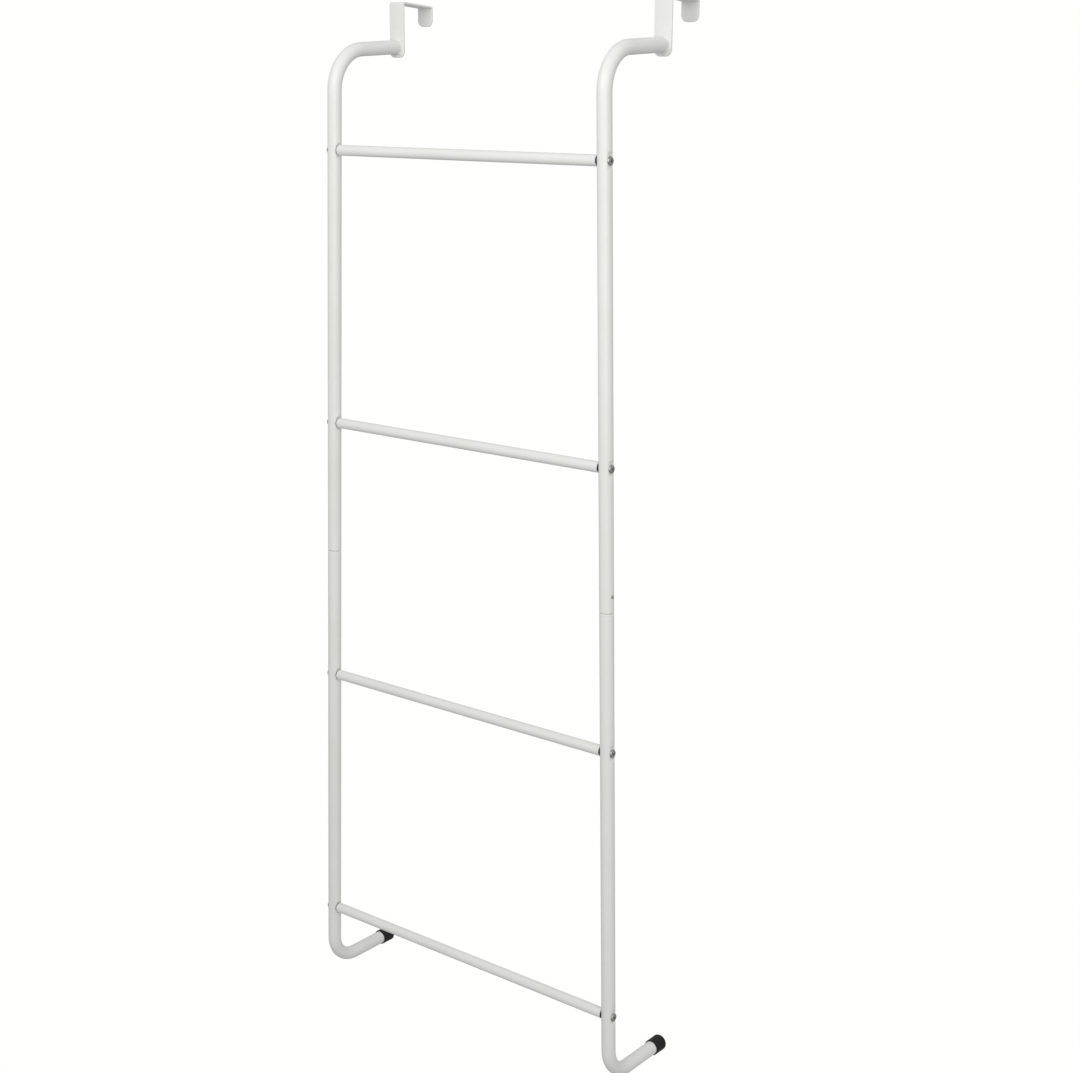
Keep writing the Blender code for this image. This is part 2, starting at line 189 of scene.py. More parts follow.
CROSS_DEPTH = 0.0012
CROSS_TAPER = 0.35
CROSS_SHALLOWING = 0.45
CROSS_WALL = 0.00012
CROSS_TURN = 0.35

# Hook straps and the weld between strap and arm
STRAP_THICK = 0.002
STRAP_BEND = 0.003
STRAP_CORNER = 0.0075
STRAP_FALL = math.radians(4.0)
STRAP_EDGE = 0.0004
STRAP_END_ROUND = 0.0005
STRAP_END_THINNING = 0.8
STRIP_WEAR = 0.35
TAB_DROP = 0.021
WELD_SIZE = 0.00055
WELD_EVEN = 0.75
WELD_STITCH = 0.75

# Rubber feet
CAP_FLOOR = 0.003
CAP_ROUND = 0.0034
CAP_LIP = 0.00056
CAP_TAPER = 0.0002
CAP_WEAR = 0.001
CAP_SIDES = 72
BEAD_HEIGHT = 0.00022
BEAD_BELOW_MOUTH = 0.0016
BEAD_WIDTH = 0.0009
POLE_RADIUS = 0.0003


# ---------------------------------------------------------------- shader arithmetic

class Tone:
    """One socket of a material. Arithmetic on tones adds Math nodes, so a formula is written as it is meant."""

    def __init__(self, socket):
        self.socket = socket

    def make(self, kind, settings=None, links=None, out=0):
        """Any node of this tree: its type, its settings, then the values or links of its sockets."""
        tree = self.socket.id_data
        node = tree.nodes.new(kind)
        for name, value in (settings or {}).items():
            setattr(node, name, value)
        for name, value in (links or {}).items():
            if isinstance(value, Tone):
                tree.links.new(value.socket, node.inputs[name])
            else:
                node.inputs[name].default_value = value
        return Tone(node.outputs[out])

    def math(self, operation, first, second):
        return self.make("ShaderNodeMath", {"operation": operation}, {0: first, 1: second})

    def __add__(self, other):
        return self.math("ADD", self, other)

    def __radd__(self, other):
        return self.math("ADD", other, self)

    def __sub__(self, other):
        return self.math("SUBTRACT", self, other)

    def __rsub__(self, other):
        return self.math("SUBTRACT", other, self)

    def __mul__(self, other):
        return self.math("MULTIPLY", self, other)

    def __rmul__(self, other):
        return self.math("MULTIPLY", other, self)

    def between(self, low, high):
        """0 below low, 1 above high, and a straight ramp between, held inside 0 and 1."""
        return self.make("ShaderNodeMapRange", {"clamp": True}, {0: self, 1: low, 2: high, 3: 0.0, 4: 1.0})

    def noise(self, scale, detail=2.0, rough=0.5):
        """Noise over this vector, about 0 to 1 with its middle at 0.5."""
        return self.make("ShaderNodeTexNoise", None, {0: self, "Scale": scale, "Detail": detail, "Roughness": rough})

    def stretched(self, x, y, z):
        """This vector with each axis multiplied, so that a pattern runs along the shortest factor."""
        return self.make("ShaderNodeVectorMath", {"operation": "MULTIPLY"}, {0: self, 1: (x, y, z)})

    def mix(self, low, high):
        """A colour from low to high by this factor."""
        return self.make("ShaderNodeMix", {"data_type": "RGBA"}, {0: self, 6: low, 7: high}, out=2)

    def relief(self, depth):
        """A surface normal from this height, whose full swing is depth metres."""
        return self.make("ShaderNodeBump", None, {"Height": self, "Distance": depth, "Strength": 1.0})


def finish(name, paint, constants):
    """A Principled material. paint(place, wear) gives what varies; constants go on the shader's own sockets. The wear
    mask comes from the edge attribute, which on the screws marks their recess for painted shade.
    """
    made = bpy.data.materials.new(name)
    made.use_nodes = True
    tree = made.node_tree
    shader = tree.nodes["Principled BSDF"]
    for socket, value in constants.items():
        shader.inputs[socket].default_value = value
    place = Tone(tree.nodes.new("ShaderNodeTexCoord").outputs["Object"])
    edge = tree.nodes.new("ShaderNodeAttribute")
    edge.attribute_name = "edge"
    for socket, tone in paint(place, Tone(edge.outputs["Fac"])).items():
        tree.links.new(tone.socket, shader.inputs[socket])
    return made


def grey(value, warm=0.0):
    """A near-neutral colour, short of blue where warm is above 0."""
    return (value, value * (1 + 0.1 * warm), value * (1 - warm), 1.0)


def powder_coat(place, edge):
    """Baked powder: slow drift in tone, fine orange peel, thinner and duller on edges, a few pale dust specks."""
    drift = place.noise(14.0, 3.0)
    peel = place.noise(620.0, 2.0)
    swell = place.noise(150.0, 1.0)
    speck = place.noise(1900.0, 1.0).between(0.74, 0.8)
    thin = (edge * place.noise(260.0, 3.0).between(0.3, 0.7)).between(0.0, 1.0)
    body = drift.between(0.3, 0.7).mix(grey(0.790, 0.036), grey(0.820, 0.026))
    worn = (thin * 0.45).mix(body, grey(0.70, 0.06))
    return {
        "Base Color": (speck * 0.35).mix(worn, grey(0.66, 0.06)),
        "Roughness": 0.30 + drift * 0.10 + thin * 0.12 + peel * 0.04,
        "Normal": (peel * 0.45 + swell * 0.55).relief(0.00002),
    }


def zinc_plate(place, edge):
    """Bright zinc: faint blue and straw clouds, fine turning scratches, and rougher where the edge mask is high.
    There the colour is also darkened towards near black, which on the screws is painted shade in the cross recess.
    """
    cloud = place.noise(420.0, 3.0)
    scratch = place.stretched(0.18, 1.0, 1.0).noise(5200.0, 2.0, 0.7)
    tint = cloud.between(0.35, 0.65).mix((0.40, 0.41, 0.425, 1.0), (0.45, 0.44, 0.40, 1.0))
    return {
        # the mix towards near black is painted shade in the screw's recess, not a colour of the zinc
        "Base Color": (edge * 0.8).mix(tint, (0.10, 0.10, 0.097, 1.0)),
        "Roughness": 0.18 + cloud * 0.12 + scratch * 0.10 + edge * 0.25,
        "Normal": scratch.relief(0.000012),
    }


def blued_spring(place, edge):
    """Hardened leaf steel: dark blue-grey with rolling marks along the strip and a paler sheared edge."""
    marks = place.stretched(1.0, 1.0, 0.06).noise(4200.0, 3.0, 0.7)
    stain = place.noise(300.0, 3.0)
    shade = stain.between(0.3, 0.7).mix((0.19, 0.20, 0.225, 1.0), (0.30, 0.30, 0.31, 1.0))
    return {
        "Base Color": (edge * 0.6).mix(shade, (0.45, 0.45, 0.44, 1.0)),
        "Roughness": 0.26 + marks * 0.20,
        "Normal": marks.relief(0.00001),
    }


def cap_rubber(place, edge):
    """Moulded rubber: near black, a dusty bloom in patches, fine pebble from the mould, polished on its rims."""
    bloom = place.noise(180.0, 4.0)
    pebble = place.noise(2300.0, 2.0)
    return {
        "Base Color": bloom.between(0.45, 0.8).mix(grey(0.0075), grey(0.022, 0.04)),
        "Roughness": 0.42 + bloom * 0.22 - edge * 0.08,
        "Normal": (pebble * 0.7 + bloom * 0.3).relief(0.00005),
    }


def plug_nylon(place, edge):
    """Moulded nylon: black with faint flow marks and a slight sheen."""
    flow = place.stretched(0.25, 1.0, 1.0).noise(900.0, 3.0)
    grain = place.noise(3000.0, 2.0)
    return {
        "Base Color": flow.between(0.3, 0.7).mix(grey(0.012), grey(0.03)),
        "Roughness": 0.38 + flow * 0.16 + edge * 0.1,
        "Normal": grain.relief(0.00002),
    }


POWDER = finish("white_powder_coat", powder_coat, {"IOR": 1.5, "Coat Weight": 0.12, "Coat Roughness": 0.18})
ZINC = finish("bright_zinc_plate", zinc_plate, {"Metallic": 1.0})
SPRING = finish("blued_spring_steel", blued_spring, {"Metallic": 1.0})
RUBBER = finish("moulded_black_rubber", cap_rubber, {"IOR": 1.48, "Specular IOR Level": 0.28})
NYLON = finish("moulded_black_nylon", plug_nylon, {"IOR": 1.53})


# ---------------------------------------------------------------- surfaces on a grid

def skin(name, points, material, looped=False, edge=None):
    """A closed mesh over a grid of points, shape (stations, around, 3).

    Neighbours (i, j), (i, j + 1), (i + 1, j + 1), (i + 1, j) make a quad and j wraps round. A looped grid also joins
    its last station to its first, and any other gets a flat face at each end. edge, 0 to 1 at each point, says where
    the finish wears, and on the screws where their recess is darkened as painted shade.
    """
    stations, around = points.shape[:2]
    index = np.arange(stations * around).reshape(stations, around)
    beside = np.roll(index, -1, axis=1)
    ahead = np.roll(index, -1, axis=0)
    ahead_beside = np.roll(beside, -1, axis=0)
    quads = np.stack((index, beside, ahead_beside, ahead), axis=-1)
    if not looped:
        quads = quads[:-1]
    faces = quads.reshape(-1, 4).tolist()
    if not looped:
        faces += [index[0][::-1].tolist(), index[-1].tolist()]
    mesh = bpy.data.meshes.new(name)
    mesh.from_pydata(points.reshape(-1, 3).tolist(), [], faces)
    shape = bmesh.new()
    shape.from_mesh(mesh)
    if shape.calc_volume(signed=True) < 0:
        bmesh.ops.reverse_faces(shape, faces=shape.faces)
    shape.to_mesh(mesh)
    shape.free()
    if edge is not None:
        worn = mesh.attributes.new("edge", "FLOAT", "POINT")
        worn.data.foreach_set("value", np.broadcast_to(edge, (stations, around)).astype(np.float32).ravel())
    mesh.materials.append(material)
    mesh.shade_smooth()
    mesh.set_sharp_from_angle(angle=SHARP_ANGLE)
    made = bpy.data.objects.new(name, mesh)
    bpy.context.scene.collection.objects.link(made)
    return made


def fit(piece, body, slot, *nodes):
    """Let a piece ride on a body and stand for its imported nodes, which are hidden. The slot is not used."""
    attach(piece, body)
    if nodes:
        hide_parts(*nodes)
    return piece


def bent_route(points, radius):
    """A line through points with every inner corner rounded to one radius, as (place, length).

    place(s) gives centres and directions at arc lengths s. It adds, for each straight run, u clip(s - start, 0, run)
    and, for each bend, u r sin(a) + w r (1 - cos a), with a the angle turned so far, u the direction before the bend
    and w the direction square to u that the bend turns towards.
    """
    points = [np.array(point, float) for point in points]
    legs = [after - before for before, after in zip(points, points[1:])]
    lengths = [np.linalg.norm(leg) for leg in legs]
    ways = [leg / length for leg, length in zip(legs, lengths)]
    turns = [math.acos(float(np.clip(a @ b, -1, 1))) for a, b in zip(ways, ways[1:])]
    setbacks = [0.0] + [radius * math.tan(turn / 2) for turn in turns] + [0.0]
    runs = [length - setbacks[i] - setbacks[i + 1] for i, length in enumerate(lengths)]
    total = sum(runs) + radius * sum(turns)

    def place(s):
        s = np.asarray(s, float)[:, None]
        centre = np.repeat(points[0][None], len(s), axis=0)
        direction = np.repeat(ways[0][None], len(s), axis=0)
        start = 0.0
        for i, way in enumerate(ways):
            stop = np.inf if i == len(ways) - 1 else runs[i]
            centre = centre + way * np.clip(s - start, None if i == 0 else 0.0, stop)
            start += runs[i]
            if i < len(turns):
                towards = ways[i + 1] - way * (way @ ways[i + 1])
                towards = towards / np.linalg.norm(towards)
                angle = np.clip((s - start) / radius, 0.0, turns[i])
                centre = centre + radius * (way * np.sin(angle) + towards * (1 - np.cos(angle)))
                direction = direction + way * (np.cos(angle) - 1) + towards * np.sin(angle)
                start += radius * turns[i]
        return centre, direction / np.linalg.norm(direction, axis=1, keepdims=True)

    return place, total


def bend_stops(starts, radius, turn):
    """Arc lengths spread over the bends that start at the given lengths."""
    return np.concatenate([np.linspace(start, start + radius * turn, BEND_STOPS) for start in starts])


def swept(place, s, radius, sides, across):
    """Circles along a route: centre(s) + radius (cos t across + sin t (direction x across)), t once round."""
    centre, direction = place(s)
    turn = np.arange(sides) * FULL_TURN / sides
    across = np.asarray(across, float)
    along = np.cross(direction, across)
    along = along / np.linalg.norm(along, axis=1, keepdims=True)
    radius = np.asarray(radius, float)
    radius = radius if radius.ndim == 2 else radius[:, None]
    ring = across * np.cos(turn)[None, :, None] + along[:, None, :] * np.sin(turn)[None, :, None]
    return centre[:, None, :] + radius[..., None] * ring


def turned(start, axis, far, radius, sides):
    """A profile turned about a line: start + axis far + radius (cos t e + sin t (axis x e)), t once round."""
    axis = np.asarray(axis, float) / np.linalg.norm(axis)
    across = np.cross(DOORWARD, axis)
    if np.linalg.norm(across) < 0.1:
        across = RIGHTWARD
    across = across / np.linalg.norm(across)
    start = np.asarray(start, float)
    return swept(lambda s: (start + s[:, None] * axis, np.repeat(axis[None], len(s), 0)), far, radius, sides, across)


def quarter(count=7):
    """Angles from 0 to a right angle."""
    return np.linspace(0.0, math.pi / 2, count)


def wall(length, outer, bore, lip, stops):
    """The closed outline of a tube's wall in (s, r): up the outside, over a rolled lip of a quarter circle at each
    end, and back down the bore."""
    turn = quarter()
    stops = np.sort(stops[(stops > 2 * lip) & (stops < length - 2 * lip)])
    s = np.concatenate((lip * (1 - np.cos(turn)), stops, length - lip * (1 - np.cos(turn[::-1])), stops[::-1]))
    r_lip = outer - lip * (1 - np.sin(turn))
    r = np.concatenate((r_lip, np.full(len(stops), outer), r_lip[::-1], np.full(len(stops), bore)))
    s = np.insert(s, [0, 2 * len(turn) + len(stops)], [0.0, length])
    r = np.insert(r, [0, 2 * len(turn) + len(stops)], [bore, bore])
    return s, r


def near_ends(s, length, reach):
    """1 at either end of a length, falling to 0 at reach from it."""
    return np.clip(1 - np.minimum(s, length - s) / reach, 0, 1)[:, None]


def drilled(piece, bits):
    """Cut drill-shaped pieces out of a piece, and put them away."""
    for bit in bits:
        hole = piece.modifiers.new("hole", "BOOLEAN")
        hole.operation = "DIFFERENCE"
        hole.solver = "EXACT"
        hole.object = bit
    whole = piece.evaluated_get(bpy.context.evaluated_depsgraph_get())
    cut = bpy.data.meshes.new_from_object(whole)
    piece.modifiers.clear()
    piece.data = cut
    cut.set_sharp_from_angle(angle=SHARP_ANGLE)
    for bit in bits:
        bpy.data.objects.remove(bit, do_unlink=True)
    return piece


def drill(start, axis, far, radius):
    """A plain round bar, for cutting a hole along axis between the distances in far."""
    stops = np.array(far, float)
    return skin("drill", turned(start, axis, stops, np.full(2, radius), DRILL_SIDES), POWDER)


# ---------------------------------------------------------------- side rails

def rail_axis(side, z):
    """The splayed rail's axis at a height. Its flats pass a plug's collar with a small gap."""
    beside_top_rung = corners("rung_plug_1_right")[1][0] + (RAIL_RADIUS - FLAT_DEPTH) / math.cos(SPLAY) + GAP
    return np.array((side * (beside_top_rung + (TOP_RUNG_HIGH[2] - z) * SPREAD), RAIL_Y, z))


def rail_at_rung(side, number):
    """The rail's axis at a rung's height."""
    return rail_axis(side, middle(f"rung_{number}")[2])


def rail_up(side):
    """The direction up a splayed rail."""
    return np.array((-side * math.sin(SPLAY), 0.0, math.cos(SPLAY)))


def outward(side):
    """Square to the splayed rail, away from the middle of the rack."""
    return np.array((side * math.cos(SPLAY), 0.0, math.sin(SPLAY)))


def arm_end(side):
    """The middle of the upper tube's end, just short of the hook strap."""
    y = UPPER_HIGH[1] - RAIL_RADIUS * math.sin(ARM_RISE)
    z = UPPER_HIGH[2] - RAIL_RADIUS * math.cos(ARM_RISE)
    return np.array((side * HOOK_X, y, z))


def arm_way():
    """The direction along an arm, from the bend to the hook."""
    return np.array((0.0, math.cos(ARM_RISE), math.sin(ARM_RISE)))


def button_axis_point(side):
    """The rail's axis at the snap button."""
    return rail_axis(side, SEAM_Z) + rail_up(side) * BUTTON_RISE


def screw_stops(side, start, numbers):
    """Close arc lengths, counted from start, over the flats at these rungs."""
    reach = FLAT_HALF + FLAT_RUNOUT
    spots = [np.linalg.norm(rail_at_rung(side, number) - start) for number in numbers]
    return np.concatenate([np.linspace(spot - reach, spot + reach, FLAT_STOPS) for spot in spots])


def pressed(grid, side, numbers):
    """Press flats into both walls at the screws. A point at a distance d sideways of the rail's axis moves in by
    w c ln(1 + exp((d - limit) / c)), with w = 1 over the flat and falling smoothly to 0 along its run-out."""
    for number in numbers:
        offset = grid - rail_at_rung(side, number)
        along = offset @ rail_up(side)
        share = np.clip((FLAT_HALF + FLAT_RUNOUT - np.abs(along)) / FLAT_RUNOUT, 0, 1)
        share = share * share * (3 - 2 * share)
        sideways = offset @ outward(side)
        off_axis = np.linalg.norm(offset - along[..., None] * rail_up(side), axis=-1)
        limit = np.where(off_axis > (RAIL_RADIUS + RAIL_BORE) / 2, RAIL_RADIUS, RAIL_BORE) - FLAT_DEPTH
        over = np.clip((np.abs(sideways) - limit) / FLAT_SOFTNESS, -20, 20)
        move = share * FLAT_SOFTNESS * np.log1p(np.exp(over)) * np.sign(sideways)
        grid = grid - move[..., None] * outward(side)
    return grid


def rail_holes(side, numbers):
    """The bits for one tube: a screw hole right through at each of these rungs, and the button's hole outwards."""
    bits = [drill(rail_at_rung(side, number), RIGHTWARD, SCREW_HOLE_SPAN, SCREW_HOLE) for number in numbers]
    bits.append(drill(button_axis_point(side), outward(side), BUTTON_HOLE_SPAN, BUTTON_HOLE_RADIUS))
    return bits


def upper_tube(label, side):
    """The upper tube: up from the seam, round a wide bend, and back along the arm. The arm runs a little long and is
    then cut flat along the hook."""
    back = arm_way()
    seam = rail_axis(side, SEAM_Z)
    end = arm_end(side) + back * (2 * RAIL_RADIUS * math.sin(ARM_RISE))
    corner = rail_axis(side, end[2] - (end[1] - RAIL_Y) * math.tan(ARM_RISE))
    up = corner - seam
    place, length = bent_route((seam, corner, end), ARM_BEND)
    turn = math.acos(float(up @ back) / np.linalg.norm(up))
    bend = np.linalg.norm(up) - ARM_BEND * math.tan(turn / 2)
    stops = np.concatenate((
        np.linspace(END_CLEAR, bend, RUN_STOPS)[:-1],
        bend_stops([bend], ARM_BEND, turn),
        np.linspace(bend + ARM_BEND * turn, length, 8)[1:-1],
        screw_stops(side, seam, UPPER_RUNGS),
    ))
    s, r = wall(length, RAIL_RADIUS, RAIL_BORE, TUBE_LIP, stops)
    across = np.cross(up, back) / np.linalg.norm(np.cross(up, back))
    grid = pressed(swept(place, s, r, RAIL_SIDES, across), side, UPPER_RUNGS)
    grid[..., 1] = np.minimum(grid[..., 1], UPPER_HIGH[1])
    tube = skin(f"{label}_upper_tube", grid, POWDER, looped=True, edge=near_ends(s, length, TUBE_WEAR))
    made = drilled(tube, rail_holes(side, UPPER_RUNGS))
    return fit(made, "rack", "white_coat", f"{label}_upper_rail")


def spigot_profile(s, shoulder):
    """Outer radius of the lower tube at arc length s from the spigot's top: the spigot with a tapered lead-in, a
    quarter-ellipse shoulder r = spigot + (rail - spigot) sqrt(1 - (1 - q)^2) with q the way along it, then the rail
    with a faint groove depth exp(-(d / width)^2)."""
    q = np.clip((s - shoulder) / SHOULDER_LENGTH, 0, 1)
    step = (RAIL_RADIUS - SPIGOT_RADIUS) * np.sqrt(1 - (1 - q) ** 2)
    groove = GROOVE_DEPTH * np.exp(-(((s - shoulder - GROOVE_BELOW) / GROOVE_WIDTH) ** 2))
    lead_in = LEAD_IN_DEPTH * np.clip(1 - s / LEAD_IN_LENGTH, 0, 1)
    return SPIGOT_RADIUS + step - groove - lead_in


def lower_tube(label, side):
    """The lower tube: the spigot, its shoulder, a straight run, a tight bend and the foot."""
    seam = rail_axis(side, SEAM_Z)
    corner = rail_axis(side, FOOT_Z)
    top = seam + rail_up(side) * SPIGOT_LENGTH
    end = np.array((corner[0], LOWER_HIGH[1], corner[2]))
    place, length = bent_route((top, corner, end), FOOT_BEND)
    shoulder = SPIGOT_LENGTH + SEAM_GAP
    turn = math.pi / 2
    bend = np.linalg.norm(corner - top) - FOOT_BEND
    ease = 1 - np.cos(quarter(10))
    stops = np.concatenate((
        np.linspace(0.0, shoulder, 30)[:-1],
        [LEAD_IN_LENGTH],
        shoulder + SHOULDER_LENGTH * ease,
        np.linspace(shoulder + GROOVE_SPAN[0], shoulder + GROOVE_SPAN[1], 16),
        np.linspace(shoulder + PLAIN_FROM, bend, RUN_STOPS)[:-1],
        bend_stops([bend], FOOT_BEND, turn),
        np.linspace(bend + FOOT_BEND * turn, length, 6)[1:],
        screw_stops(side, top, LOWER_RUNGS),
    ))
    stops = np.unique(np.round(stops, 7))
    bore = np.where(stops < shoulder + SHOULDER_LENGTH, SPIGOT_BORE, RAIL_BORE)
    s = np.concatenate((stops, stops[::-1]))
    r = np.concatenate((spigot_profile(stops, shoulder), bore[::-1]))
    grid = swept(place, s, r, RAIL_SIDES, np.cross(rail_up(side), -DOORWARD))
    grid = pressed(grid, side, LOWER_RUNGS)
    worn = np.clip(1 - np.abs(s - shoulder - SHOULDER_LENGTH / 2) / TUBE_WEAR, 0, 1)[:, None]
    tube = skin(f"{label}_lower_tube", grid, POWDER, looped=True, edge=worn)
    made = drilled(tube, rail_holes(side, LOWER_RUNGS))
    return fit(made, "rack", "white_coat", f"{label}_lower_rail")


# ---------------------------------------------------------------- flat strips: hook straps and spring leaves

def strip(name, place, s, half_width, half_thick, edge_radius, across, material):
    """A flat strip along a route. Its section is a rounded rectangle: for t once round, across (a (w - e) + e cos t)
    + square (b (h - e) + e sin t), where a and b are the signs of the corner that t is in, w and h the half width
    and half thickness at s, and e the edge radius."""
    centre, direction = place(s)
    square = np.cross(direction, across)
    square = square / np.linalg.norm(square, axis=1, keepdims=True)
    per_corner = 6
    quadrant = np.repeat(np.arange(4), per_corner)
    turn = (quadrant + np.tile(np.linspace(0, 1, per_corner), 4)) * math.pi / 2
    a = np.where((quadrant == 0) | (quadrant == 3), 1.0, -1.0)
    b = np.where(quadrant < 2, 1.0, -1.0)
    sideways = a * (half_width[:, None] - edge_radius) + edge_radius * np.cos(turn)
    through = b * (half_thick[:, None] - edge_radius) + edge_radius * np.sin(turn)
    grid = centre[:, None, :] + sideways[..., None] * across + through[..., None] * square[:, None, :]
    wear = STRIP_WEAR + (1 - STRIP_WEAR) * np.abs(np.sin(2 * turn))[None, :]
    return skin(name, grid, material, edge=np.repeat(wear, len(s), axis=0))


def rounded_end(distance, radius):
    """How far an outline with a quarter-circle corner is drawn in at a distance from its end."""
    left = radius - np.clip(distance, 0, radius)
    return radius - np.sqrt(radius**2 - left**2)


def door_strap(label, side):
    """The hook: a strap up the front of the door, over its top with a fall towards the back, and down to a short
    tab. The underside of the top plate meets the door's top at the back."""
    half = STRAP_THICK / 2
    x = side * HOOK_X
    front = HOOK_LOW[1] + half
    back = HOOK_HIGH[1] - half
    bend = STRAP_BEND - half
    back_top = half / math.cos(STRAP_FALL) - half * math.tan(STRAP_FALL)
    front_top = back_top + (back - front) * math.tan(STRAP_FALL)
    route = ((x, front, HOOK_LOW[2]), (x, front, front_top), (x, back, back_top), (x, back, -TAB_DROP))
    place, length = bent_route(route, bend)
    tip = STRAP_CORNER * (1 - np.cos(quarter(14)))
    front_turn = math.pi / 2 + STRAP_FALL
    back_turn = math.pi / 2 - STRAP_FALL
    front_bend = front_top - HOOK_LOW[2] - bend * math.tan(front_turn / 2)
    back_bend = length - (back_top + TAB_DROP - bend * math.tan(back_turn / 2)) - bend * back_turn
    stops = np.concatenate((
        tip,
        length - tip,
        bend_stops([front_bend], bend, front_turn),
        bend_stops([back_bend], bend, back_turn),
        np.linspace(STRAP_CORNER, length - STRAP_CORNER, 60),
    ))
    s = np.unique(np.round(stops, 7))
    to_end = np.minimum(s, length - s)
    half_width = (HOOK_HIGH[0] - HOOK_LOW[0]) / 2 - rounded_end(to_end, STRAP_CORNER)
    half_thick = half - STRAP_END_THINNING * rounded_end(to_end, STRAP_END_ROUND)
    made = strip(f"{label}_door_strap", place, s, half_width, half_thick, STRAP_EDGE, RIGHTWARD, POWDER)
    return fit(made, "rack", "white_coat", f"{label}_hook")


def weld_bead(label, side):
    """The coated weld round the arm's end. A ring about the arm's axis whose section is a circle of radius
    size (even + stitch cos^2 t) (1 + ripple), with cos^2 t largest above and below the arm and the ripple a sum of
    two sines round the ring. It stops just inside the hook's face."""
    end = arm_end(side)
    around = np.linspace(0, FULL_TURN, 180, endpoint=False)
    section = np.linspace(0, FULL_TURN, 14, endpoint=False)
    fine = 0.10 * np.sin(34 * around + side)
    coarse = 0.07 * np.sin(21 * around + 2.1)
    size = WELD_SIZE * (WELD_EVEN + WELD_STITCH * np.cos(around) ** 2) * (1 + (fine + coarse))
    reach = RAIL_RADIUS + 0.2 * size[:, None] + size[:, None] * np.cos(section)
    depth = HOOK_LOW[1] - 0.35 * size[:, None] + size[:, None] * np.sin(section)
    x = end[0] + reach * np.sin(around)[:, None]
    z = end[2] + reach * np.cos(around)[:, None]
    grid = np.stack((x, np.minimum(depth, HOOK_LOW[1] + GAP), z), axis=-1)
    return fit(skin(f"{label}_weld_bead", grid, POWDER, looped=True), "rack", "white_coat")


# ---------------------------------------------------------------- rungs, plugs and screws

def crossbar(number):
    """A rung: a straight tube with square ends, their outer edges just broken."""
    low, high = corners(f"rung_{number}")
    centre = (low + high) / 2
    length = high[0] - low[0]
    stops = np.linspace(END_CLEAR, length - END_CLEAR, RUNG_STOPS)
    s, r = wall(length, RUNG_RADIUS, RUNG_BORE, RUNG_LIP, stops)
    start = np.array((low[0], centre[1], centre[2]))
    grid = turned(start, RIGHTWARD, s, r, RUNG_SIDES)
    made = skin(f"crossbar_{number}", grid, POWDER, looped=True, edge=near_ends(s, length, RUNG_WEAR))
    return fit(made, "rack", "white_coat", f"rung_{number}")


def end_plug(number, label, side):
    """A plug pressed into a rung's end up to its thin collar. Barbs: r = plug - depth (1 - cos(2 pi waves q)) / 2,
    with q the way along the plug."""
    low, high = corners(f"rung_plug_{number}_{label}")
    outer_x = high[0] if side > 0 else low[0]
    start = np.array((outer_x, RAIL_Y, (low[2] + high[2]) / 2))
    collar = (high[2] - low[2]) / 2
    radius = RUNG_BORE - GAP
    far = np.linspace(COLLAR_THICK + BARBS_FROM, PLUG_LENGTH - BARBS_SHORT_OF_TIP, 57)
    barbs = radius - BARB_DEPTH * (1 - np.cos(FULL_TURN * BARB_WAVES * far / PLUG_LENGTH)) / 2
    collar_far = [0.0, 0.0, PLUG_EASED, COLLAR_THICK - PLUG_EASED, COLLAR_THICK, COLLAR_THICK]
    collar_radius = [PLUG_BORE, collar - PLUG_EASED, collar, collar, collar - PLUG_EASED, radius]
    s = np.concatenate((collar_far, far, [PLUG_LENGTH, PLUG_LENGTH]))
    r = np.concatenate((collar_radius, barbs, [radius - 2 * PLUG_CHAMFER, PLUG_BORE]))
    grid = turned(start, (-side, 0, 0), s, r, PLUG_SIDES)
    made = skin(f"end_plug_{number}_{label}", grid, NYLON, looped=True, edge=near_ends(s, PLUG_LENGTH, PLUG_WEAR))
    return fit(made, "rack", "black_nylon", f"rung_plug_{number}_{label}")


def cross_recess(radius, turn, start_turn):
    """Depth of the driver recess at polar places on the head: two arms crossing at the middle, each tapering and
    shallowing outwards, D (1 - shallowing f / span) inside |n| < w (1 - taper f / span) and f < span, with smooth
    walls. f is the distance along the nearer arm and n the distance from its middle line."""
    u = np.abs(radius * np.cos(turn - start_turn))
    v = np.abs(radius * np.sin(turn - start_turn))
    f = np.maximum(u, v)
    n = np.minimum(u, v)
    across = np.clip((CROSS_HALF_WIDTH * (1 - CROSS_TAPER * f / CROSS_SPAN) - n) / CROSS_WALL + 0.5, 0, 1)
    along = np.clip((CROSS_SPAN - f) / (2 * CROSS_WALL), 0, 1)
    inside = across * along
    return CROSS_DEPTH * (1 - CROSS_SHALLOWING * f / CROSS_SPAN) * inside * inside * (3 - 2 * inside)


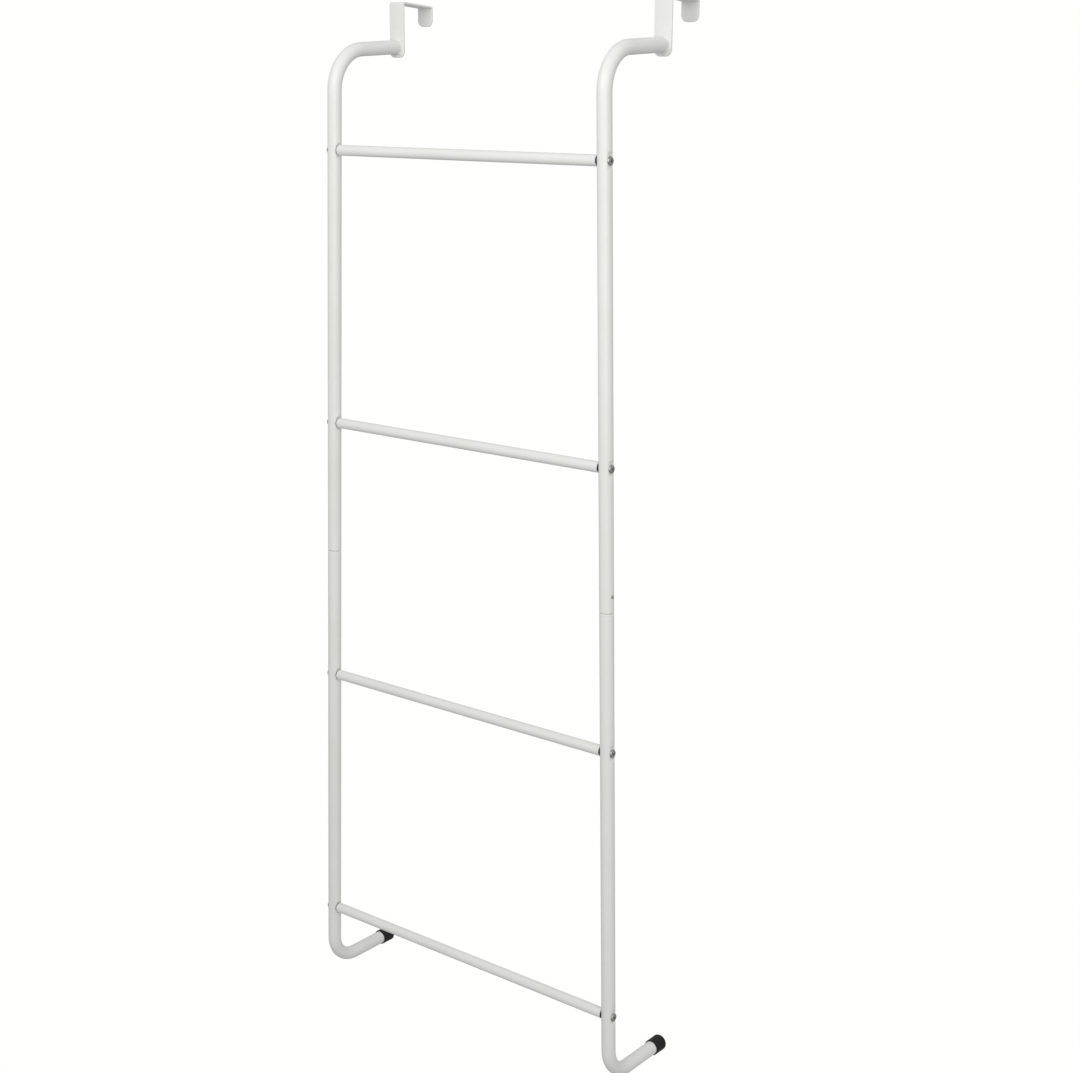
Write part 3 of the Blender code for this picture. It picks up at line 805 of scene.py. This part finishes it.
def crossbar_screw(number, label, side):
    """A low pan-head screw. Crown: height h sqrt(1 - (r / R)^4), less the cross recess. Thread: the shank's radius
    less depth (1 + cos(2 pi a / pitch - t)) / 2, for a along the shank and t round it."""
    low, high = corners(f"rung_screw_{number}_{label}")
    crown_x = high[0] if side > 0 else low[0]
    seat = np.array((crown_x - side * HEAD_HEIGHT, RAIL_Y, (low[2] + high[2]) / 2))
    reach = high[0] - low[0] - HEAD_HEIGHT
    share = np.concatenate((np.linspace(0.012, 0.6, 32), np.sin(np.linspace(math.asin(0.62), math.pi / 2, 14))))
    crown = -HEAD_HEIGHT * np.sqrt(np.maximum(1 - share**4, 0))
    crown = np.maximum(crown, -HEAD_HEIGHT)
    thread = np.arange(THREAD_FROM, reach - THREAD_SHORT_OF_TIP, THREAD_STEP)
    far = np.concatenate((crown, [0.0, 0.0005, 0.0045], thread, [reach - POINT_LENGTH, reach]))
    neck = [SHANK_RADIUS * 1.02, SHANK_RADIUS, SHANK_RADIUS]
    point = [SHANK_RADIUS * 0.8, SHANK_RADIUS * 0.3]
    radius = np.concatenate((share * HEAD_RADIUS, neck, np.full(len(thread), SHANK_RADIUS), point))
    turn = np.arange(SCREW_SIDES) * FULL_TURN / SCREW_SIDES
    radii = np.repeat(radius[:, None], SCREW_SIDES, axis=1)
    on_thread = (far >= thread[0]) & (far <= thread[-1]) & (radius == SHANK_RADIUS)
    groove = THREAD_DEPTH * (1 + np.cos(FULL_TURN * far[:, None] / THREAD_PITCH - turn)) / 2
    radii = np.where(on_thread[:, None], radii - groove, radii)
    grid = turned(seat, (-side, 0, 0), far, radii, SCREW_SIDES)
    sunk = cross_recess(radii, turn[None, :], CROSS_TURN * number + side)
    sunk[len(share):] = 0.0
    grid[..., 0] -= side * sunk
    # the recess's depth as 0 to 1: it roughens the zinc and darkens its colour there as painted shade
    recess_shade_and_roughness = np.clip(sunk / (0.4 * CROSS_DEPTH), 0, 1)
    made = skin(f"crossbar_screw_{number}_{label}", grid, ZINC, edge=recess_shade_and_roughness)
    return fit(made, "rack", "zinc_steel", f"rung_screw_{number}_{label}")


# ---------------------------------------------------------------- rubber feet

def rubber_foot(label, side):
    """A pushed-on rubber cap, turned about the foot: a rounded closed end that rests on the door, a slightly tapered
    wall, a bead height exp(-(d / width)^2) near the mouth, a soft rim and the bore that grips the tube."""
    low, high = corners(f"{label}_foot_cap")
    radius = (high[2] - low[2]) / 2
    length = high[1] - low[1]
    bore = RAIL_RADIUS + GAP / 2
    turn = quarter(12)
    rim_turn = quarter(6)[1:]
    end_far = CAP_ROUND * (1 - np.sin(turn[::-1]))
    end_radius = radius - CAP_ROUND * (1 - np.cos(turn[::-1]))
    wall_far = np.linspace(CAP_ROUND, length - CAP_LIP, 20)[1:]
    bead = BEAD_HEIGHT * np.exp(-(((wall_far - (length - BEAD_BELOW_MOUTH)) / BEAD_WIDTH) ** 2))
    wall_radius = radius - CAP_TAPER * (wall_far - CAP_ROUND) / (length - CAP_ROUND) + bead - CAP_TAPER / 2
    rim_far = length - CAP_LIP + CAP_LIP * np.sin(rim_turn)
    rim_radius = radius - CAP_TAPER - CAP_LIP * (1 - np.cos(rim_turn))
    far = np.concatenate(([0.0], end_far, wall_far, rim_far, [length, CAP_FLOOR, CAP_FLOOR]))
    r = np.concatenate(([POLE_RADIUS], end_radius, wall_radius, rim_radius, [bore, bore, POLE_RADIUS]))
    start = np.array((middle(f"{label}_foot_cap")[0], high[1], middle(f"{label}_foot_cap")[2]))
    grid = turned(start, -DOORWARD, far, r, CAP_SIDES)
    made = skin(f"{label}_rubber_foot", grid, RUBBER, edge=near_ends(far, length, CAP_WEAR))
    return fit(made, "rack", "black_rubber", f"{label}_foot_cap")


# ---------------------------------------------------------------- snap buttons and their leaves

def flange_back():
    """How far from the rail's axis the button's flange has its back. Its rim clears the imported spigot's bore, which
    is a polygon and so is narrower at the middle of each side."""
    bore = SPIGOT_BORE * math.cos(math.pi / PACKED_BORE_SIDES)
    return math.sqrt(bore**2 - FLANGE_RADIUS**2) - GAP - FLANGE_THICK


def snap_pin(label, side):
    """The snap button: a flange, a plain stem and a domed tip, r = R cos a and height = dome sin a."""
    back = flange_back()
    tip = RAIL_RADIUS + BUTTON_PROUD - back
    turn = quarter(14)[:-1]
    rim = FLANGE_RADIUS - PIN_EASED
    flange_far = [0.0, PIN_EASED, FLANGE_THICK - PIN_EASED, FLANGE_THICK, FLANGE_THICK]
    flange_radius = [rim, FLANGE_RADIUS, FLANGE_RADIUS, rim, BUTTON_RADIUS]
    far = np.concatenate((flange_far, tip - BUTTON_DOME + BUTTON_DOME * np.sin(turn)))
    r = np.concatenate((flange_radius, BUTTON_RADIUS * np.cos(turn)))
    start = button_axis_point(side) + outward(side) * back
    made = skin(f"{label}_snap_pin", turned(start, outward(side), far, r, 48), ZINC)
    return fit(made, f"{label}_button", "zinc_steel", f"{label}_snap_button")


def spring_leaf(label, side):
    """The V leaf in the spigot: one leg behind the button and one on the far wall."""
    near = flange_back() - GAP - LEAF_THICK / 2
    far = SPIGOT_BORE - 3 * GAP - LEAF_THICK / 2
    bottom = -LEAF_BELOW + LEAF_THICK / 2
    far_leg = ((-far, LEAF_ABOVE), (-far, 0.0))
    fold = ((-LEAF_FOLD, bottom), (LEAF_FOLD, bottom))
    near_leg = ((near, -LEAF_KNEE), (near, LEAF_ABOVE))
    middle_point = button_axis_point(side)
    route = [middle_point + outward(side) * a + rail_up(side) * b for a, b in far_leg + fold + near_leg]
    place, length = bent_route(route, LEAF_FOLD_RADIUS)
    s = np.linspace(0.0, length, LEAF_STOPS)
    width = LEAF_WIDTH / 2 - rounded_end(np.minimum(s, length - s), LEAF_CORNER)
    thick = np.full(len(s), LEAF_THICK / 2)
    made = strip(f"{label}_spring_leaf", place, s, width, thick, LEAF_EDGE, DOORWARD, SPRING)
    fit(made, "rack", "spring_steel", f"{label}_snap_spring")
    travel = next(joint for joint in frame["joints"] if joint["name"] == f"{label}_button_press")["range_m"][1]
    span = near + far + LEAF_THICK
    1 - travel / span
    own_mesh(made)
    return made


# ---------------------------------------------------------------- camera, light and studio

CAMERA_PLACE = (1.2524, -1.5778, -0.0906)
CAMERA_YAW = math.radians(38.182)
CAMERA_PITCH = math.radians(14.367)
CAMERA_ROLL = math.radians(0.531)
CAMERA_LENS = 58.247
CAMERA_SENSOR = 36.0
DOOR_HEIGHT = 2.03
STUDIO_RADIUS = 14.0
STUDIO_SIDES = 96
COVE_RADIUS = 6.0
CENTRE_HOLE = 0.01
SURROUND_TUCK = 0.01
PALE = (1.0, 1.0, 0.99, 1.0)
KEY_PLACE = (1.7, -1.7, 0.2)
KEY_SIZE = 2.0
KEY_WATTS = 20.0
HOOK_LIGHT_PLACE = (0.15, -1.2, 0.4)
HOOK_LIGHT_SIZE = 0.8
HOOK_LIGHT_WATTS = 5.2


def set_camera():
    """The view: turned left of straight ahead, tipped down and rolled a little."""
    level = Vector((-math.sin(CAMERA_YAW), math.cos(CAMERA_YAW), 0.0))
    across = Vector((math.cos(CAMERA_YAW), math.sin(CAMERA_YAW), 0.0))
    up = Vector(UPWARD)
    ahead = level * math.cos(CAMERA_PITCH) - up * math.sin(CAMERA_PITCH)
    above = up * math.cos(CAMERA_PITCH) + level * math.sin(CAMERA_PITCH)
    rolled_across = across * math.cos(CAMERA_ROLL) + above * math.sin(CAMERA_ROLL)
    rolled_above = above * math.cos(CAMERA_ROLL) - across * math.sin(CAMERA_ROLL)
    data = bpy.data.cameras.new("camera")
    data.sensor_width = CAMERA_SENSOR
    data.lens = CAMERA_LENS
    data.clip_start = 0.01
    data.clip_end = 60.0
    camera = bpy.data.objects.new("camera", data)
    facing = Matrix((rolled_across, rolled_above, -ahead)).transposed().to_4x4()
    camera.matrix_world = Matrix.Translation(CAMERA_PLACE) @ facing
    bpy.context.scene.collection.objects.link(camera)
    bpy.context.scene.camera = camera


def softbox(name, place, aim, size, watts):
    """A square softbox at a place, facing a point."""
    data = bpy.data.lights.new(name, "AREA")
    data.shape = "SQUARE"
    data.size = size
    data.energy = watts
    light = bpy.data.objects.new(name, data)
    light.location = place
    light.rotation_mode = "QUATERNION"
    light.rotation_quaternion = (Vector(aim) - Vector(place)).to_track_quat("-Z", "Y")
    bpy.context.scene.collection.objects.link(light)
    light.visible_camera = False


def studio_surface(name, profile):
    """A plain studio surface turned about the vertical through the rack, seen by the camera only."""
    radius = np.array([point[0] for point in profile])
    height = np.array([point[1] for point in profile])
    grid = turned((0.0, 0.0, 0.0), UPWARD, height, radius, STUDIO_SIDES)
    plain = bpy.data.materials.new(name)
    plain.use_nodes = True
    plain.cycles.emission_sampling = "NONE"
    tree = plain.node_tree
    tree.nodes.clear()
    glow = tree.nodes.new("ShaderNodeEmission")
    glow.inputs["Color"].default_value = PALE
    output = tree.nodes.new("ShaderNodeOutputMaterial")
    tree.links.new(glow.outputs["Emission"], output.inputs["Surface"])
    made = skin(name, grid, plain)
    made.visible_diffuse = False
    made.visible_glossy = False
    made.visible_transmission = False
    made.visible_shadow = False


def surroundings():
    """Even light from all round, darker towards the ground: a ramp on the height of the direction looked in."""
    world = bpy.data.worlds.new("studio_world")
    world.use_nodes = True
    tree = world.node_tree
    direction = Tone(tree.nodes.new("ShaderNodeTexCoord").outputs["Generated"])
    height = direction.make("ShaderNodeSeparateXYZ", None, {0: direction}, out=2)
    level = height.between(-0.9, 0.5).mix(grey(0.36), grey(0.60))
    tree.links.new(level.socket, tree.nodes["Background"].inputs["Color"])
    bpy.context.scene.world = world


def set_studio():
    """Pale floor at the door's foot, a coved surround, a large softbox in front and a small one for the hooks."""
    studio_surface("studio_floor", ((CENTRE_HOLE, -DOOR_HEIGHT), (STUDIO_RADIUS, -DOOR_HEIGHT)))
    turn = quarter(20)
    arch = [(STUDIO_RADIUS - COVE_RADIUS * (1 - math.cos(t)), COVE_RADIUS * math.sin(t)) for t in turn]
    foot = (STUDIO_RADIUS, -DOOR_HEIGHT - SURROUND_TUCK)
    studio_surface("studio_surround", [foot] + arch + [(CENTRE_HOLE, COVE_RADIUS)])
    surroundings()
    softbox("key_softbox", KEY_PLACE, (0.0, RAIL_Y, -0.45), KEY_SIZE, KEY_WATTS)
    softbox("hook_softbox", HOOK_LIGHT_PLACE, (0.0, HOOK_LOW[1], -0.03), HOOK_LIGHT_SIZE, HOOK_LIGHT_WATTS)
    bpy.context.scene.view_settings.view_transform = "Standard"
    bpy.context.scene.view_settings.look = "None"


# ---------------------------------------------------------------- the rack

set_camera()
set_studio()
for label, side in SIDES:
    upper_tube(label, side)
    lower_tube(label, side)
    door_strap(label, side)
    weld_bead(label, side)
    rubber_foot(label, side)
    snap_pin(label, side)
    spring_leaf(label, side)
for number in UPPER_RUNGS + LOWER_RUNGS:
    crossbar(number)
    for label, side in SIDES:
        end_plug(number, label, side)
        crossbar_screw(number, label, side)
